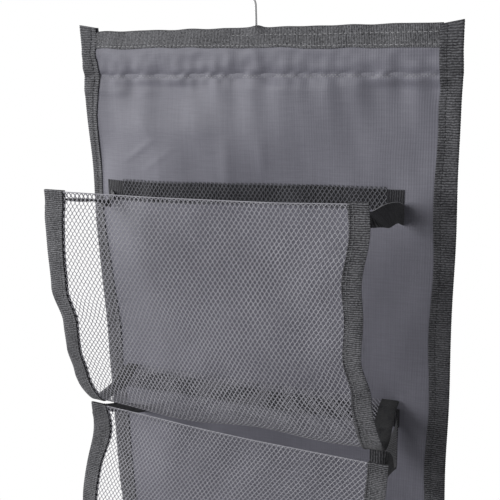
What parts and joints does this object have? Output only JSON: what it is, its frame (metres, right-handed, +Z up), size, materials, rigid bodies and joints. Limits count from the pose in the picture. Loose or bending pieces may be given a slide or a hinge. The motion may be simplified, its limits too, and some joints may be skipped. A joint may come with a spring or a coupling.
{
  "type": "hanging shoe organizer",
  "caption": "Hanging cloth panel with a swivel wire hook and stacked open-sided net pockets for shoes, each bound in tape and folding up flat.",
  "frame": {"origin": "inside top of the hook's bend, in the hook's plane, where it rests on a rail", "axes": "+Z up along the hanging panel, +X to the right of someone facing the pockets, -Y out of the panel towards the pockets"},
  "size_m": [0.33, 0.1166, 0.9983],
  "materials": {
    "panel_cloth": "smooth coated nylon, slight sheen",
    "binding_tape": "ribbed woven tape",
    "pocket_tape": "ribbed woven tape",
    "strip_tape": "dark woven tape",
    "pocket_net": "knitted diamond net",
    "thread": "polyester thread",
    "hook_steel": "bright plated wire",
    "cap_steel": "satin",
    "bar_wood": "planed, unfinished"
  },
  "bodies": {
    "hook": {"hook_wire": "hook_steel", "hook_washer": "cap_steel", "hook_end_cap": "cap_steel"},
    "panel": {"hanger_bar": "bar_wood", "back_panel": "panel_cloth", "sleeve_flap": "panel_cloth", "top_binding": "binding_tape", "left_binding": "binding_tape", "right_binding": "binding_tape", "bottom_binding": "binding_tape", "sleeve_seam_thread": "thread", "pocket_1_back_strip": "strip_tape", "pocket_2_back_strip": "strip_tape", "pocket_3_back_strip": "strip_tape", "pocket_4_back_strip": "strip_tape"},
    "pocket_1_floor": {"pocket_1_net_floor": "pocket_net", "pocket_1_floor_tape_left": "pocket_tape", "pocket_1_floor_tape_right": "pocket_tape"},
    "pocket_1_front": {"pocket_1_net_front": "pocket_net", "pocket_1_front_tape_left": "pocket_tape", "pocket_1_front_tape_right": "pocket_tape"},
    "pocket_1_straps": {"pocket_1_strap_left": "pocket_tape", "pocket_1_strap_right": "pocket_tape"},
    "pocket_2_floor": {"pocket_2_net_floor": "pocket_net", "pocket_2_floor_tape_left": "pocket_tape", "pocket_2_floor_tape_right": "pocket_tape"},
    "pocket_2_front": {"pocket_2_net_front": "pocket_net", "pocket_2_front_tape_left": "pocket_tape", "pocket_2_front_tape_right": "pocket_tape"},
    "pocket_2_straps": {"pocket_2_strap_left": "pocket_tape", "pocket_2_strap_right": "pocket_tape"},
    "pocket_3_floor": {"pocket_3_net_floor": "pocket_net", "pocket_3_floor_tape_left": "pocket_tape", "pocket_3_floor_tape_right": "pocket_tape"},
    "pocket_3_front": {"pocket_3_net_front": "pocket_net", "pocket_3_front_tape_left": "pocket_tape", "pocket_3_front_tape_right": "pocket_tape"},
    "pocket_3_straps": {"pocket_3_strap_left": "pocket_tape", "pocket_3_strap_right": "pocket_tape"},
    "pocket_4_floor": {"pocket_4_net_floor": "pocket_net", "pocket_4_floor_tape_left": "pocket_tape", "pocket_4_floor_tape_right": "pocket_tape"},
    "pocket_4_front": {"pocket_4_net_front": "pocket_net", "pocket_4_front_tape_left": "pocket_tape", "pocket_4_front_tape_right": "pocket_tape"},
    "pocket_4_straps": {"pocket_4_strap_left": "pocket_tape", "pocket_4_strap_right": "pocket_tape"}
  },
  "joints": [
    {"name": "hook_swivel", "type": "hinge", "parent": "hook", "child": "panel", "pos_m": [0, 0, -0.06548], "axis": [0, 0, 1], "continuous": true},
    {"name": "pocket_1_floor_fold", "type": "hinge", "parent": "panel", "child": "pocket_1_floor", "pos_m": [0, -0.005, -0.38148], "axis": [-1, 0, 0], "range_deg": [0, 82]},
    {"name": "pocket_1_front_fold", "type": "hinge", "parent": "pocket_1_floor", "child": "pocket_1_front", "pos_m": [0, -0.0875, -0.38148], "axis": [-1, 0, 0], "range_deg": [-82, 0]},
    {"name": "pocket_1_strap_fold", "type": "hinge", "parent": "panel", "child": "pocket_1_straps", "pos_m": [0, -0.005, -0.19548], "axis": [-1, 0, 0], "range_deg": [0, 67]},
    {"name": "pocket_2_floor_fold", "type": "hinge", "parent": "panel", "child": "pocket_2_floor", "pos_m": [0, -0.005, -0.57447], "axis": [-1, 0, 0], "range_deg": [0, 82]},
    {"name": "pocket_2_front_fold", "type": "hinge", "parent": "pocket_2_floor", "child": "pocket_2_front", "pos_m": [0, -0.0875, -0.57447], "axis": [-1, 0, 0], "range_deg": [-82, 0]},
    {"name": "pocket_2_strap_fold", "type": "hinge", "parent": "panel", "child": "pocket_2_straps", "pos_m": [0, -0.005, -0.38848], "axis": [-1, 0, 0], "range_deg": [0, 67]},
    {"name": "pocket_3_floor_fold", "type": "hinge", "parent": "panel", "child": "pocket_3_floor", "pos_m": [0, -0.005, -0.76748], "axis": [-1, 0, 0], "range_deg": [0, 82]},
    {"name": "pocket_3_front_fold", "type": "hinge", "parent": "pocket_3_floor", "child": "pocket_3_front", "pos_m": [0, -0.0875, -0.76748], "axis": [-1, 0, 0], "range_deg": [-82, 0]},
    {"name": "pocket_3_strap_fold", "type": "hinge", "parent": "panel", "child": "pocket_3_straps", "pos_m": [0, -0.005, -0.58147], "axis": [-1, 0, 0], "range_deg": [0, 67]},
    {"name": "pocket_4_floor_fold", "type": "hinge", "parent": "panel", "child": "pocket_4_floor", "pos_m": [0, -0.005, -0.96047], "axis": [-1, 0, 0], "range_deg": [0, 82]},
    {"name": "pocket_4_front_fold", "type": "hinge", "parent": "pocket_4_floor", "child": "pocket_4_front", "pos_m": [0, -0.0875, -0.96047], "axis": [-1, 0, 0], "range_deg": [-82, 0]},
    {"name": "pocket_4_strap_fold", "type": "hinge", "parent": "panel", "child": "pocket_4_straps", "pos_m": [0, -0.005, -0.77448], "axis": [-1, 0, 0], "range_deg": [0, 67]}
  ],
  "couplings": [
    {"joint": "pocket_1_front_fold", "follows": "pocket_1_floor_fold", "ratio": -1},
    {"joint": "pocket_1_strap_fold", "follows": "pocket_1_floor_fold", "ratio": 0.81},
    {"joint": "pocket_2_floor_fold", "follows": "pocket_1_floor_fold", "ratio": 1},
    {"joint": "pocket_2_front_fold", "follows": "pocket_1_floor_fold", "ratio": -1},
    {"joint": "pocket_2_strap_fold", "follows": "pocket_1_floor_fold", "ratio": 0.81},
    {"joint": "pocket_3_floor_fold", "follows": "pocket_1_floor_fold", "ratio": 1},
    {"joint": "pocket_3_front_fold", "follows": "pocket_1_floor_fold", "ratio": -1},
    {"joint": "pocket_3_strap_fold", "follows": "pocket_1_floor_fold", "ratio": 0.81},
    {"joint": "pocket_4_floor_fold", "follows": "pocket_1_floor_fold", "ratio": 1},
    {"joint": "pocket_4_front_fold", "follows": "pocket_1_floor_fold", "ratio": -1},
    {"joint": "pocket_4_strap_fold", "follows": "pocket_1_floor_fold", "ratio": 0.81}
  ]
}
